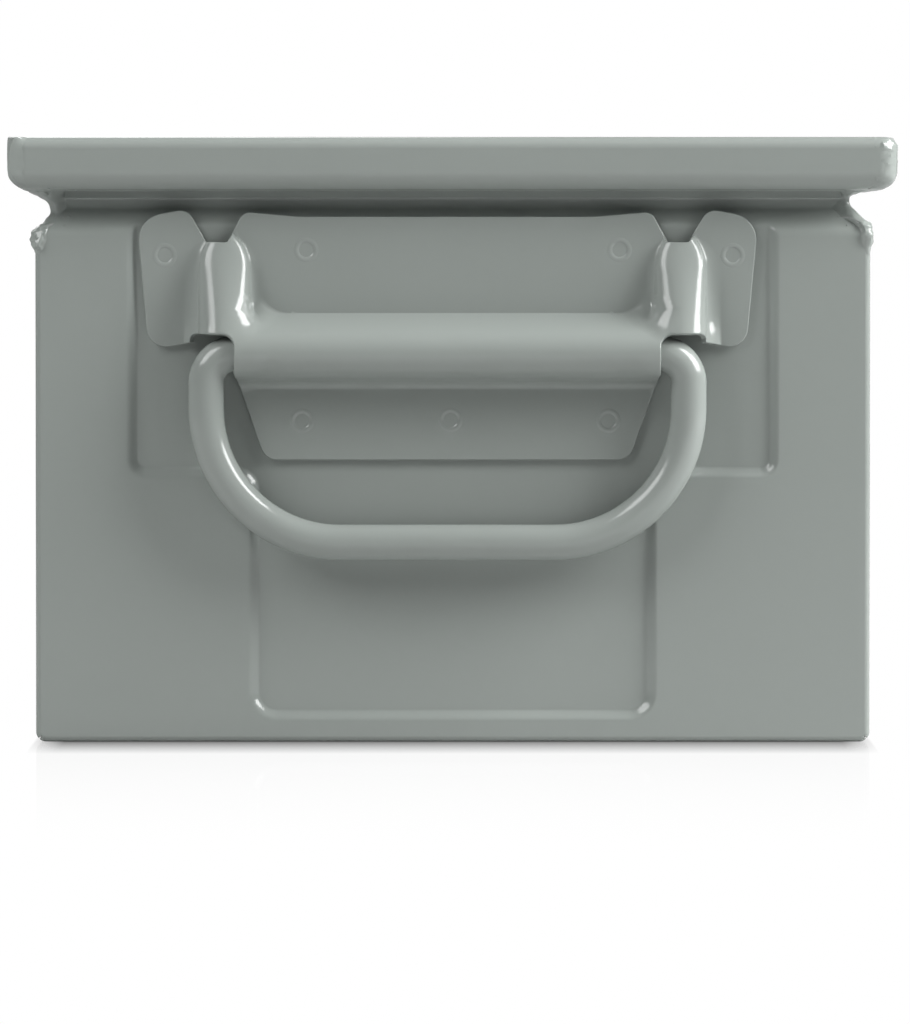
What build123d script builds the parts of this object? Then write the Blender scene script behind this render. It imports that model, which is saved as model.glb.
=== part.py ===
from build123d import *
import math
import os

os.makedirs("parts", exist_ok=True)

# An open stacking and carrying box of sheet steel, in millimetres. The origin is on the ground under
# its middle, Z is up, the long way is Y, and the end with the near handle faces -Y.

# Overall sizes
rim_width = 300.0
rim_length = 450.0
box_height = 204.4
sheet = 1.25

# Rim, neck and shoulder, as heights of each and as distances inward from the rim's outer face
rim_overhang = 9.0
stack_clearance = 0.9
neck_inset = 16.4
rim_depth = 17.9
neck_height = 6.1
shoulder_height = 8.1
curl_radius = 6.9
ledge_radius = 2.5
neck_top_radius = 3.5
neck_low_radius = 2.4
shoulder_radius = 4.6
rim_corner_radius = 3.0
rim_top_flat = 0.05

# Folded flanges of the end panels and the floor
flange_depth = 18.0
flange_top_drop = 5.3
panel_bend = 2.0
panel_corner = 3.3
floor_bend = 2.8
seam_gap = 0.8
relief_width = 0.7
relief_length = 6.0

# Pressed recess of the end walls, a T standing on its stem
recess_depth = 2.0
recess_slope = 3.5
bar_half_width = 110.0
bar_drop = 41.9
bar_corner = 6.0
stem_half_width = 68.8
stem_low = 7.4
stem_corner = 9.5
inner_corner = 4.0

# Pressed recess of the long walls
side_recess_half = 178.0
side_recess_low = 12.0
side_recess_corner = 12.0

# Drop handle: one round bar with its ends turned inwards
bar_diameter = 12.0
handle_half_width = 81.3
handle_drop = 63.7
handle_top_bend = 10.0
handle_low_bend = 45.0
handle_end_gap = 50.0
handle_end_chamfer = 1.0
handle_axis_drop = 72.9
handle_standoff = 9.0
handle_shift = -1.8

# Handle bracket: one pressed sheet, heights measured from the handle's axis
bracket_sheet = 2.0
channel_clearance = 0.3
hood_centre = 77.0
hood_shift = 1.7
hood_slope = 18.0
hood_fillet = 3.0
top_flange_half = 69.0
top_flange_rise = 47.7
top_flange_dip = 46.0
dip_half = 50.0
dip_radius = 40.0
top_flange_corner = 4.0
vee_low = 37.2
vee_inner = 74.3
vee_outer = 81.2
vee_corner = 0.8
ear_inner = 87.8
ear_inner_rise = 48.7
ear_inner_corner = 5.0
ear_outer = 105.0
ear_outer_rise = 45.5
ear_outer_corner = 9.0
ear_foot = 100.9
ear_foot_rise = 1.1
ear_foot_corner = 6.5
notch_outer = 86.2
notch_foot_rise = 3.5
notch_foot_corner = 0.5
notch_outer_corner = 2.0
notch_inner = 71.8
notch_inner_corner = 4.3
flange_knee_drop = 6.5
flange_knee_corner = 1.5
low_flange_half = 61.6
low_flange_drop = 36.1
low_flange_corner = 5.5

# Spot welds that hold the bracket, as shallow round marks
spot_diameter = 7.4
spot_depth = 0.15
ear_spot_x = 95.4
ear_spot_rise = 33.0
top_spot_x = 53.0
top_spot_rise = 34.8
low_spot_x = 51.7
low_spot_drop = 22.8

# Corner welds, beads laid along each mitre from the folded flange to the curled lip of the rim. Each
# point is set off inward and upward from the bend that it lies against, and the bead lies a little
# to the panel's side of the mitre.
left_bead = 3.3
right_bead = 2.7
bead_skew = 0.15
weld_flange_inward = 1.9
weld_flange_rise = 1.8
weld_shoulder_inward = 5.6
weld_shoulder_rise = 5.2
weld_neck_inward = 0.4
weld_neck_rise = 1.6
weld_ledge_outward = 2.2
weld_ledge_drop = 0.5
weld_lip_outward = 3.1
weld_lip_rise = 5.0

# Derived sizes
rim_underside = box_height - rim_depth
neck_low = rim_underside - neck_height
shoulder_low = neck_low - shoulder_height
flange_top = shoulder_low - flange_top_drop
handle_axis_height = box_height - handle_axis_drop
bar_low = handle_axis_height - bar_drop
half_sheet = sheet / 2
rim_half_width = rim_width / 2
rim_half_length = rim_length / 2
body_half_width = rim_half_width - rim_overhang
body_half_length = rim_half_length - rim_overhang
rim_bead = rim_overhang - stack_clearance
side_inset = rim_overhang + sheet
side_face = rim_half_width - side_inset
end_inner_face = body_half_length - sheet
recess_floor = body_half_length - recess_depth
bar_radius = bar_diameter / 2
channel_inner = bar_radius + channel_clearance
channel_outer = channel_inner + bracket_sheet
notch_top = bar_radius + channel_clearance + 0.1
beyond = 5.0


def wall_path(wall_inset):
    # Corners and bend radii of the sheet's middle line, from the curled lip of the rim to the wall.
    # Each corner is a distance inward from the rim's outer face and a height.
    outer = half_sheet
    inner = rim_bead - half_sheet
    neck = neck_inset + half_sheet
    top = box_height - half_sheet
    low = rim_underside + half_sheet
    top_radius = (inner - outer - rim_top_flat) / 2
    corners = [
        (rim_bead - sheet + half_sheet / 4, low),
        (outer, low),
        (outer, top),
        (inner, top),
        (inner, low),
        (neck, low),
        (neck, neck_low),
        (wall_inset + half_sheet, shoulder_low),
    ]
    radii = [
        curl_radius - half_sheet,
        top_radius,
        top_radius,
        ledge_radius - half_sheet,
        neck_top_radius + half_sheet,
        neck_low_radius + half_sheet,
        shoulder_radius - half_sheet,
    ]
    return corners, radii


def shoulder_slope(wall_inset):
    # Rise of the shoulder for each millimetre inward
    return (neck_low - shoulder_low) / (neck_inset - wall_inset)


def end_recess(plane, widen, shrink, top):
    # Outline of the T on a plane, its edges moved out by widen and in by shrink
    move = widen - shrink
    bar = bar_half_width + move
    stem = stem_half_width + move
    low = bar_low - move
    foot = stem_low - move
    corners = [
        (-bar, top),
        (-bar, low),
        (-stem, low),
        (-stem, foot),
        (stem, foot),
        (stem, low),
        (bar, low),
        (bar, top),
    ]
    radii = [
        bar_corner - shrink,
        inner_corner + shrink,
        stem_corner - shrink,
        stem_corner - shrink,
        inner_corner + shrink,
        bar_corner - shrink,
    ]
    with BuildSketch(plane) as outline:
        with BuildLine():
            open_side = FilletPolyline(*corners, radius=radii)
            Line(open_side @ 1, open_side @ 0)
        make_face()
    return outline


def side_recess(plane, widen, shrink, top):
    # Outline of the long wall's recess on a plane, moved in the same way
    move = widen - shrink
    half = side_recess_half + move
    low = side_recess_low - move
    corners = [(-half, top), (-half, low), (half, low), (half, top)]
    with BuildSketch(plane) as outline:
        with BuildLine():
            open_side = FilletPolyline(*corners, radius=side_recess_corner - shrink)
            Line(open_side @ 1, open_side @ 0)
        make_face()
    return outline


def press_recess(outline, wall_plane, wall_inset):
    # Presses a recess with sloping sides into a wall whose outer face is wall_plane
    slope_angle = math.atan2(recess_depth, recess_slope)
    widen = sheet * math.tan(slope_angle / 2)
    bulge_top = shoulder_low + recess_depth * shoulder_slope(wall_inset)
    inside = wall_plane.offset(-sheet)
    bulge_foot = outline(inside, widen, 0, bulge_top)
    bulge_face = outline(inside.offset(-recess_depth), widen, recess_slope, bulge_top)
    loft([bulge_foot.sketch.face(), bulge_face.sketch.face()], ruled=True)
    mouth = outline(wall_plane, 0, 0, neck_low)
    floor = outline(wall_plane.offset(-recess_depth), 0, recess_slope, neck_low)
    loft([mouth.sketch.face(), floor.sketch.face()], ruled=True, mode=Mode.SUBTRACT)


# Trough: the floor and both long sides with their rims, one folded sheet
with BuildPart() as trough:
    corners, radii = wall_path(side_inset)
    floor_middle = sheet + half_sheet
    right = [(rim_half_width - inset, height) for inset, height in corners]
    right.append((side_face - half_sheet, floor_middle))
    left = [(-x, height) for x, height in reversed(right)]
    right_radii = radii + [floor_bend - half_sheet]
    with BuildSketch(Plane.XZ):
        with BuildLine():
            FilletPolyline(*right, *left, radius=right_radii + right_radii[::-1])
        trace(line_width=sheet)
    extrude(amount=rim_half_length, both=True)
    for direction in (1, -1):
        side_plane = Plane(
            origin=(direction * side_face, 0, 0),
            x_dir=(0, direction, 0),
            z_dir=(direction, 0, 0),
        )
        press_recess(side_recess, side_plane, side_inset)
    trough_end = end_inner_face - seam_gap
    end_room = rim_half_length + beyond - trough_end
    with BuildSketch():
        with Locations((0, trough_end + end_room / 2), (0, -trough_end - end_room / 2)):
            Rectangle(rim_width + 2 * beyond, end_room)
    extrude(amount=flange_top, mode=Mode.SUBTRACT)
    reach = rim_overhang + neck_inset + sheet
    with BuildSketch(Plane.XY.offset(flange_top)):
        for direction in (1, -1):
            with BuildLine():
                Polyline(
                    (rim_half_width + beyond, direction * (rim_half_length + beyond)),
                    (rim_half_width - reach, direction * (rim_half_length - reach)),
                    (-rim_half_width + reach, direction * (rim_half_length - reach)),
                    (-rim_half_width - beyond, direction * (rim_half_length + beyond)),
                    close=True,
                )
            make_face()
    extrude(amount=box_height - flange_top, mode=Mode.SUBTRACT)
    with BuildSketch():
        RectangleRounded(rim_width, rim_length, rim_corner_radius)
    extrude(amount=box_height, mode=Mode.INTERSECT)

# End panel: wall, shoulder, neck and rim, with flanges round the long sides and under the floor
end_plane = Plane.XZ.offset(body_half_length)
with BuildPart() as front_end_panel:
    with BuildSketch(end_plane):
        with BuildLine():
            edge = FilletPolyline(
                (-body_half_width, flange_top),
                (-body_half_width, 0),
                (body_half_width, 0),
                (body_half_width, flange_top),
                radius=panel_corner,
            )
            Line(edge @ 1, edge @ 0)
        make_face()
    extrude(amount=-flange_depth)
    face_edges = faces().sort_by(Axis.Y)[0].edges()
    fillet(face_edges.sort_by(Axis.Z)[:-1], panel_bend)
    open_faces = [faces().sort_by(Axis.Z)[-1], faces().sort_by(Axis.Y)[-1]]
    offset(amount=-sheet, openings=open_faces)
    corners, radii = wall_path(rim_overhang)
    section = [(inset - rim_half_length, height) for inset, height in corners]
    section.append((half_sheet - body_half_length, flange_top))
    with BuildSketch(Plane.YZ.offset(-rim_half_width)):
        with BuildLine():
            FilletPolyline(*section, radius=radii)
        trace(line_width=sheet)
    extrude(amount=rim_width)
    reach = rim_overhang + neck_inset + sheet
    with BuildSketch(Plane.XY.offset(flange_top)):
        for direction in (1, -1):
            with BuildLine():
                Polyline(
                    (direction * (rim_half_width - reach), reach - rim_half_length),
                    (direction * (rim_half_width + beyond), reach - rim_half_length),
                    (direction * (rim_half_width + beyond), -rim_half_length - beyond),
                    close=True,
                )
            make_face()
    extrude(amount=box_height - flange_top, mode=Mode.SUBTRACT)
    press_recess(end_recess, end_plane, rim_overhang)
    with BuildSketch():
        RectangleRounded(rim_width, rim_length, rim_corner_radius)
    extrude(amount=box_height, mode=Mode.INTERSECT)
    with BuildSketch(end_plane):
        for direction in (1, -1):
            with Locations(Location((direction * body_half_width, 0), direction * 135)):
                Rectangle(relief_length, relief_width)
    extrude(amount=-flange_depth, mode=Mode.SUBTRACT)


def mirrored(points):
    # A list of corners from the right half, repeated on the left in the opposite order
    return [(-x, y) for x, y in reversed(points)]


# The near bracket and handle are drawn with the handle's axis at the origin's height, and the back of
# the bracket on the origin's plane, and then set in place on the recess floor
bracket_plane = Plane.XZ
axis_plane = bracket_plane.offset(handle_standoff)
bracket_place = Location((handle_shift, -recess_floor, handle_axis_height))


def ridge_section(plane, radius, reach):
    # Round back of the ridge on a plane across it, with straight sides that reach into the wall
    with BuildSketch(plane) as section:
        Circle(radius)
        with Locations((0, reach / 2)):
            Rectangle(2 * radius, reach)
    return section.sketch


def channel_ridge(radius):
    # The channel with a hood sloping up from each end down to the sheet, solid, on the bracket's plane
    slope = math.radians(hood_slope)
    middle = axis_plane.origin + Vector(hood_shift, 0, 0)
    hood_plane = Plane(
        middle,
        x_dir=(1, 0, 0),
        z_dir=(0, math.sin(slope), math.cos(slope)),
    )
    hood_length = top_flange_rise / math.cos(slope)
    reach = handle_standoff / math.cos(slope)
    across = Plane(middle, x_dir=(0, 0, -1), z_dir=(1, 0, 0))
    hood_ends = (hood_shift - hood_centre, hood_shift + hood_centre)
    with BuildPart() as ridge:
        extrude(ridge_section(across, radius, reach), amount=hood_centre, both=True)
        with BuildSketch(bracket_plane) as ends:
            with Locations(*[(end, 0) for end in hood_ends]):
                Circle(radius)
        extrude(ends.sketch, amount=handle_standoff)
        with Locations(axis_plane):
            with Locations(*[(end, 0, 0) for end in hood_ends]):
                Sphere(radius)
        for end in (-hood_centre, hood_centre):
            hood_start = Plane(middle + Vector(end, 0, 0), hood_plane.x_dir, hood_plane.z_dir)
            extrude(ridge_section(hood_start, radius, reach), amount=hood_length)
        with BuildSketch(bracket_plane):
            Rectangle(2 * ear_outer, 2 * ear_inner_rise)
        extrude(amount=handle_standoff + radius, mode=Mode.INTERSECT)
    return ridge.part


# Handle bracket: ears, hoods, channel and flanges pressed from one sheet
with BuildPart() as bracket_shape:
    right_outline = [
        (dip_half, top_flange_dip),
        (top_flange_half, top_flange_rise),
        (vee_inner, vee_low),
        (vee_outer, vee_low),
        (ear_inner, ear_inner_rise),
        (ear_outer, ear_outer_rise),
        (ear_foot, ear_foot_rise),
        (notch_outer, notch_foot_rise),
        (notch_outer, notch_top),
        (notch_inner, notch_top),
        (notch_inner, -flange_knee_drop),
        (low_flange_half, -low_flange_drop),
    ]
    right_corners = [
        dip_radius,
        top_flange_corner,
        vee_corner,
        vee_corner,
        ear_inner_corner,
        ear_outer_corner,
        ear_foot_corner,
        notch_foot_corner,
        notch_outer_corner,
        notch_inner_corner,
        flange_knee_corner,
        low_flange_corner,
    ]
    with BuildSketch(bracket_plane):
        Rectangle(2 * ear_outer, 2 * ear_inner_rise)
    extrude(amount=bracket_sheet)
    add(channel_ridge(channel_outer))
    sheet_front = faces().filter_by(Axis.Y).group_by(Axis.Y)[-2][0]
    fillet(sheet_front.inner_wires()[0].edges(), hood_fillet)
    add(channel_ridge(channel_inner), mode=Mode.SUBTRACT)
    with BuildSketch(bracket_plane):
        with BuildLine():
            FilletPolyline(
                *right_outline,
                *mirrored(right_outline),
                radius=right_corners + right_corners[::-1],
                close=True,
            )
        make_face()
    extrude(amount=handle_standoff + channel_outer, mode=Mode.INTERSECT)
    spots = [
        (ear_spot_x, ear_spot_rise),
        (top_spot_x, top_spot_rise),
        (low_spot_x, -low_spot_drop),
    ]
    with BuildSketch(bracket_plane.offset(bracket_sheet)):
        with Locations(*spots, *mirrored(spots), (0, -low_spot_drop)):
            Circle(spot_diameter / 2)
    extrude(amount=-spot_depth, mode=Mode.SUBTRACT)

# Drop handle, hanging straight down
with BuildPart() as handle_shape:
    right_run = [
        (handle_end_gap / 2, 0),
        (handle_half_width, 0),
        (handle_half_width, -handle_drop),
    ]
    with BuildLine(axis_plane) as handle_line:
        FilletPolyline(
            *right_run,
            *mirrored(right_run),
            radius=[handle_top_bend, handle_low_bend, handle_low_bend, handle_top_bend],
        )
    with BuildSketch(Plane(handle_line.line @ 0, z_dir=handle_line.line % 0)):
        Circle(bar_radius)
    sweep()
    chamfer(faces().filter_by(Axis.X).edges(), handle_end_chamfer)

with BuildPart() as front_handle_bracket:
    with Locations(bracket_place):
        add(bracket_shape.part)

with BuildPart() as front_handle:
    with Locations(bracket_place):
        add(handle_shape.part)


def corner_weld(side, radius):
    # The weld of one near corner, on the side given by a sign: a round ridge through the weld's points,
    # of which the run that lies outside both sheets is kept
    points = [
        (rim_overhang + weld_flange_inward, flange_top + weld_flange_rise),
        (rim_overhang + weld_flange_inward, shoulder_low),
        (rim_overhang + weld_shoulder_inward, shoulder_low + weld_shoulder_rise),
        (neck_inset + weld_neck_inward, neck_low + weld_neck_rise),
        (neck_inset - weld_ledge_outward, rim_underside - weld_ledge_drop),
        (rim_bead - weld_lip_outward, rim_underside + weld_lip_rise),
    ]
    places = [
        Vector(side * (rim_half_width - inset - bead_skew), inset - rim_half_length, height)
        for inset, height in points
    ]
    with BuildPart() as bead:
        for place in places:
            with Locations(place):
                Sphere(radius)
        for start, end in zip(places, places[1:]):
            run = end - start
            with BuildSketch(Plane(start, z_dir=run)) as cut:
                Circle(radius)
            extrude(cut.sketch, amount=run.length)
        add([trough.part, front_end_panel.part], mode=Mode.SUBTRACT)
    return bead.solids().sort_by(SortBy.VOLUME)[-1]


# Welds that close the corners of the rim, neck and shoulder, lying against both sheets
with BuildPart() as front_left_corner_weld:
    add(corner_weld(-1, left_bead))

with BuildPart() as front_right_corner_weld:
    add(corner_weld(1, right_bead))

# The far end is the near end turned half round
with BuildPart() as back_end_panel:
    add(front_end_panel.part, rotation=(0, 0, 180))

with BuildPart() as back_handle_bracket:
    add(front_handle_bracket.part, rotation=(0, 0, 180))

with BuildPart() as back_handle:
    add(front_handle.part, rotation=(0, 0, 180))

with BuildPart() as back_right_corner_weld:
    add(front_left_corner_weld.part, rotation=(0, 0, 180))

with BuildPart() as back_left_corner_weld:
    add(front_right_corner_weld.part, rotation=(0, 0, 180))

pieces = {
    "trough": trough,
    "front_end_panel": front_end_panel,
    "back_end_panel": back_end_panel,
    "front_handle_bracket": front_handle_bracket,
    "back_handle_bracket": back_handle_bracket,
    "front_handle": front_handle,
    "back_handle": back_handle,
    "front_left_corner_weld": front_left_corner_weld,
    "front_right_corner_weld": front_right_corner_weld,
    "back_left_corner_weld": back_left_corner_weld,
    "back_right_corner_weld": back_right_corner_weld,
}
for name, piece in pieces.items():
    piece.part.label = name
    export_step(piece.part, f"parts/{name}.step")
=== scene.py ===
import math
import random

import bmesh
import bpy
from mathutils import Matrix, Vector, noise
from mathutils.geometry import delaunay_2d_cdt


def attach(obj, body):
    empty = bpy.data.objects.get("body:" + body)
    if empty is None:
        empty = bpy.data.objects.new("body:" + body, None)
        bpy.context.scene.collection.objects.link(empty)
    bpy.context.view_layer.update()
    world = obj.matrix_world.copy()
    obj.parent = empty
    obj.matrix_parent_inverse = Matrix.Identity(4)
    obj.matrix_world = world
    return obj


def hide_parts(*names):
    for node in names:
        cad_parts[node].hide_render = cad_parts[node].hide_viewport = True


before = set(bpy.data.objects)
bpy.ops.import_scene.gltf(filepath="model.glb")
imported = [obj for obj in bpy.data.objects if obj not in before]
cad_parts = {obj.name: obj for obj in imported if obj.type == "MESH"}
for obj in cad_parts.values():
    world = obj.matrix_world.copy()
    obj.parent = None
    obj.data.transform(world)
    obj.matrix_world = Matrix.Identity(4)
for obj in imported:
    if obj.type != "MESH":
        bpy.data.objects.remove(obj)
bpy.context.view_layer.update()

mm = 0.001
scene = bpy.context.scene


class Sock:
    # one output socket; arithmetic on it adds Math nodes
    def __init__(self, tree, out):
        self.tree = tree
        self.out = out

    def math(self, operation, *values):
        return self.tree.node("ShaderNodeMath", {"operation": operation}, dict(enumerate(values)))

    def __add__(self, other):
        return self.math("ADD", self, other)

    def __radd__(self, other):
        return self.math("ADD", other, self)

    def __sub__(self, other):
        return self.math("SUBTRACT", self, other)

    def __rsub__(self, other):
        return self.math("SUBTRACT", other, self)

    def __mul__(self, other):
        return self.math("MULTIPLY", self, other)

    def __rmul__(self, other):
        return self.math("MULTIPLY", other, self)

    def absolute(self):
        return self.math("ABSOLUTE", self)

    def atLeast(self, limit):
        return self.math("MAXIMUM", self, limit)

    def clamped(self):
        return self.math("MINIMUM", self.atLeast(0.0), 1.0)


class Tree:
    # a material's or world's node tree with one way to add a node
    def __init__(self, owner):
        owner.use_nodes = True
        self.nodes = owner.node_tree.nodes
        self.links = owner.node_tree.links
        self.nodes.clear()

    def node(self, kind, settings=None, values=None, output=0):
        made = self.nodes.new(kind)
        for key, value in (settings or {}).items():
            if key == "stops":
                ramp = made.color_ramp
                while len(ramp.elements) < len(value):
                    ramp.elements.new(0.5)
                for stop, (place, colour) in zip(ramp.elements, value):
                    stop.position = place
                    stop.color = (*colour, 1.0)
            else:
                setattr(made, key, value)
        for key, value in (values or {}).items():
            if isinstance(value, Sock):
                self.links.new(value.out, made.inputs[key])
            else:
                made.inputs[key].default_value = value
        return Sock(self, made.outputs[output]) if made.outputs else None


def rgba(colour):
    return (*colour, 1.0)


# satin grey-green paint, the same on every piece
paint = {
    "colour": (0.262, 0.287, 0.271),
    "paleColour": (0.285, 0.311, 0.295),
    "roughness": 0.16,
    "roughnessSpread": 0.08,
    "peelSize": 1.6,  # mm, orange peel
    "peelHeight": 0.012,  # mm
    "mottleScale": 9.0,  # per metre
    "shine": 0.42,
}


def makePaint(name, values):
    material = bpy.data.materials.new(name)
    tree = Tree(material)
    place = tree.node("ShaderNodeTexCoord", output=3)
    peelScale = 1.0 / (values["peelSize"] * mm)
    peel = tree.node("ShaderNodeTexNoise", {}, {"Vector": place, "Scale": peelScale, "Detail": 2.0})
    mottleScale = values["mottleScale"]
    mottle = tree.node("ShaderNodeTexNoise", {}, {"Vector": place, "Scale": mottleScale, "Detail": 4.0})
    colour = tree.node(
        "ShaderNodeMix",
        {"data_type": "RGBA"},
        {"Factor": mottle, 6: rgba(values["colour"]), 7: rgba(values["paleColour"])},
        output=2,
    )
    peelHeight = values["peelHeight"] * mm
    bump = tree.node("ShaderNodeBump", {}, {"Height": peel, "Distance": peelHeight, "Strength": 1.0})
    rough = values["roughness"] + (mottle - 0.5) * values["roughnessSpread"]
    surface = tree.node(
        "ShaderNodeBsdfPrincipled",
        {},
        {
            "Base Color": colour,
            "Roughness": rough,
            "Specular IOR Level": values["shine"],
            "Normal": bump,
        },
    )
    tree.node("ShaderNodeOutputMaterial", {}, {"Surface": surface})
    return material


greyPaint = makePaint("greyGreenPaint", paint)
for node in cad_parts.values():
    node.data.materials.clear()
    node.data.materials.append(greyPaint)
print("paint on", len(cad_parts), "nodes")


# the sheet work is in millimetres, and addPiece turns it into metres
box = {
    "halfWidth": 150.0,
    "halfLength": 225.0,
    "height": 204.4,
    "sheet": 1.25,
    "sheetEdge": 0.25,
    "endWallInset": 9.0,
    "sideWallInset": 10.25,
    "flangeTop": 167.0,
    "rimCorner": 6.5,
    "rowStep": 0.8,  # longest step up the shoulder, where the recess runs out
}


def roundedPath(corners, radii, arcStep=11.0, closed=False):
    # straight runs joined by arcs; an open path keeps its two ends
    corners = [Vector(c) for c in corners]
    if closed:
        corners = [corners[-1]] + corners + [corners[0]]
    path = [] if closed else [corners[0]]
    for before, corner, after, radius in zip(corners, corners[1:], corners[2:], radii):
        a = (before - corner).normalized()
        b = (after - corner).normalized()
        turn = math.pi - a.angle(b)
        if turn < 0.002:
            path.append(corner)
            continue
        centre = corner + (a + b).normalized() * radius / math.cos(turn / 2)
        arm = corner + a * radius * math.tan(turn / 2) - centre
        sign = 1 if a.x * b.y - a.y * b.x < 0 else -1
        steps = max(2, math.ceil(math.degrees(turn) / arcStep))
        for k in range(steps + 1):
            angle = sign * turn * k / steps
            c, s = math.cos(angle), math.sin(angle)
            path.append(centre + Vector((arm.x * c - arm.y * s, arm.x * s + arm.y * c)))
    return path if closed else path + [corners[-1]]


def finer(path, longest, wanted=lambda p: True):
    # adds points on the runs that are longer than wanted
    out = [path[0]]
    for a, b in zip(path, path[1:]):
        parts = max(1, math.ceil((b - a).length / longest)) if wanted(a) and wanted(b) else 1
        out += [a.lerp(b, k / parts) for k in range(1, parts + 1)]
    return out


def smooth(t):
    t = min(1.0, max(0.0, t))
    return t * t * (3 - 2 * t)


def thickSheet(name, points, faces, thickness, edge, normalAt=None, edgeSteps=3):
    # gives a middle surface its thickness and a rounded edge all round
    bm = bmesh.new()
    made = [bm.verts.new(p) for p in points]
    for face in faces:
        bm.faces.new([made[i] for i in face])
    bmesh.ops.remove_doubles(bm, verts=bm.verts, dist=0.002)
    bmesh.ops.delete(bm, geom=[v for v in bm.verts if not v.link_faces], context="VERTS")
    bmesh.ops.dissolve_degenerate(bm, edges=bm.edges, dist=0.001)
    bmesh.ops.recalc_face_normals(bm, faces=bm.faces)
    bm.verts.index_update()
    verts = list(bm.verts)
    count = len(verts)
    normals = [Vector() for v in verts]
    for face in bm.faces:
        for v in face.verts:
            normals[v.index] += face.normal * face.calc_area()
    for v in verts:
        n = normals[v.index].normalized()
        if normalAt:
            exact = normalAt(v.co)
            n = exact if exact.dot(n) > 0 else -exact
        normals[v.index] = n
    sides = {}
    rimEdges = []
    for e in bm.edges:
        if len(e.link_faces) != 1:
            continue
        face = e.link_faces[0]
        side = (e.verts[1].co - e.verts[0].co).cross(face.normal).normalized()
        if side.dot(e.verts[0].co - face.calc_center_median()) < 0:
            side.negate()
        loop = next(lp for lp in face.loops if lp.edge is e)
        rimEdges.append((loop.vert.index, loop.link_loop_next.vert.index))
        for v in e.verts:
            sides.setdefault(v.index, []).append(side)
    half = thickness / 2
    profile = []
    for k in range(1, edgeSteps + 1):
        a = math.pi / 2 * k / edgeSteps
        profile.append((edge * math.sin(a), half - edge + edge * math.cos(a), a))
    profile += [(out, -up, math.pi - a) for out, up, a in reversed(profile)]
    co = [v.co + normals[v.index] * half for v in verts]
    co += [v.co - normals[v.index] * half for v in verts]
    nrm = list(normals) + [-n for n in normals]
    rings = {}
    for i, found in sides.items():
        n = normals[i]
        out = sum(found, Vector())
        out -= n * n.dot(out)
        if out.length > 0.3:
            out.normalize()
            out *= 1 / max(0.6, out.dot(found[0]))
        else:
            out = Vector()
        ring = [i]
        for away, up, a in profile:
            ring.append(len(co))
            co.append(verts[i].co + out * away + n * up)
            nrm.append((n * math.cos(a) + out * math.sin(a)).normalized())
        rings[i] = ring + [i + count]
    polys = [[v.index for v in f.verts] for f in bm.faces]
    polys += [[i + count for i in reversed(p)] for p in polys]
    for a, b in rimEdges:
        for k in range(len(profile) + 1):
            polys.append([rings[b][k], rings[a][k], rings[a][k + 1], rings[b][k + 1]])
    bm.free()
    return addPiece(name, co, polys, nrm)


def addPiece(name, co, polys, normals=None):
    mesh = bpy.data.meshes.new(name)
    mesh.from_pydata([p * mm for p in co], [], polys)
    mesh.shade_smooth()
    if normals:
        mesh.normals_split_custom_set_from_vertices(normals)
    mesh.materials.append(greyPaint)
    piece = bpy.data.objects.new(name, mesh)
    scene.collection.objects.link(piece)
    return piece


def dress(piece, body, node):
    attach(piece, body)
    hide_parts(node)


def grid(rows):
    # a sheet of quads over rows of equal length
    width = len(rows[0])
    points = [p for row in rows for p in row]
    faces = []
    for r in range(len(rows) - 1):
        for c in range(width - 1):
            i = r * width + c
            faces.append((i, i + 1, i + 1 + width, i + width))
    return points, faces


rim = {
    "topRadius": 3.4,
    "curlRadius": 6.275,
    "ledgeRadius": 1.875,
    "neckTopRadius": 4.125,
    "neckLowRadius": 3.025,
    "shoulderRadius": 3.975,
    "outer": 0.625,
    "inner": 7.475,
    "neck": 17.025,
    "lip": 7.01,
    "top": 203.775,
    "low": 187.125,
    "neckLow": 180.4,
    "shoulderLow": 172.3,
}


def wallPath(middle, foot):
    # middle line of the sheet from the wall up to the lip: inset from the rim's face, height
    corners = [
        (middle, foot),
        (middle, rim["shoulderLow"]),
        (rim["neck"], rim["neckLow"]),
        (rim["neck"], rim["low"]),
        (rim["inner"], rim["low"]),
        (rim["inner"], rim["top"]),
        (rim["outer"], rim["top"]),
        (rim["outer"], rim["low"]),
        (rim["lip"], rim["low"]),
    ]
    radii = [
        rim["shoulderRadius"],
        rim["neckLowRadius"],
        rim["neckTopRadius"],
        rim["ledgeRadius"],
        rim["topRadius"],
        rim["topRadius"],
        rim["curlRadius"],
    ]
    return corners, radii


def pressedInset(inset, flat, depth, height):
    # a recess of some depth pushes the wall in until the shoulder is further in itself
    if height > rim["neckLow"] or depth < 0.001:
        return inset
    spare = depth - (inset - flat)
    blend = 0.25 * depth
    if spare >= blend:
        return inset + spare
    return inset if spare <= -blend else inset + (spare + blend) ** 2 / (4 * blend)


def mitredEnd(inset, start, half, cornerCentre, steps=4, first=0.93):
    # places along one row near its mitred end: distance along, inset
    edge = box["sheetEdge"]
    if inset < box["rimCorner"]:
        radius = box["rimCorner"] - inset
        angles = [math.pi / 4 * k / steps for k in range(steps + 1)]
        corner = box["rimCorner"]
        return [(cornerCentre + radius * math.sin(a), corner - radius * math.cos(a)) for a in angles]
    limit = half - inset - edge * 0.5
    reach = limit - start
    return [(start + reach * (first + (1 - first) * k / steps), inset) for k in range(steps + 1)]


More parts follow.
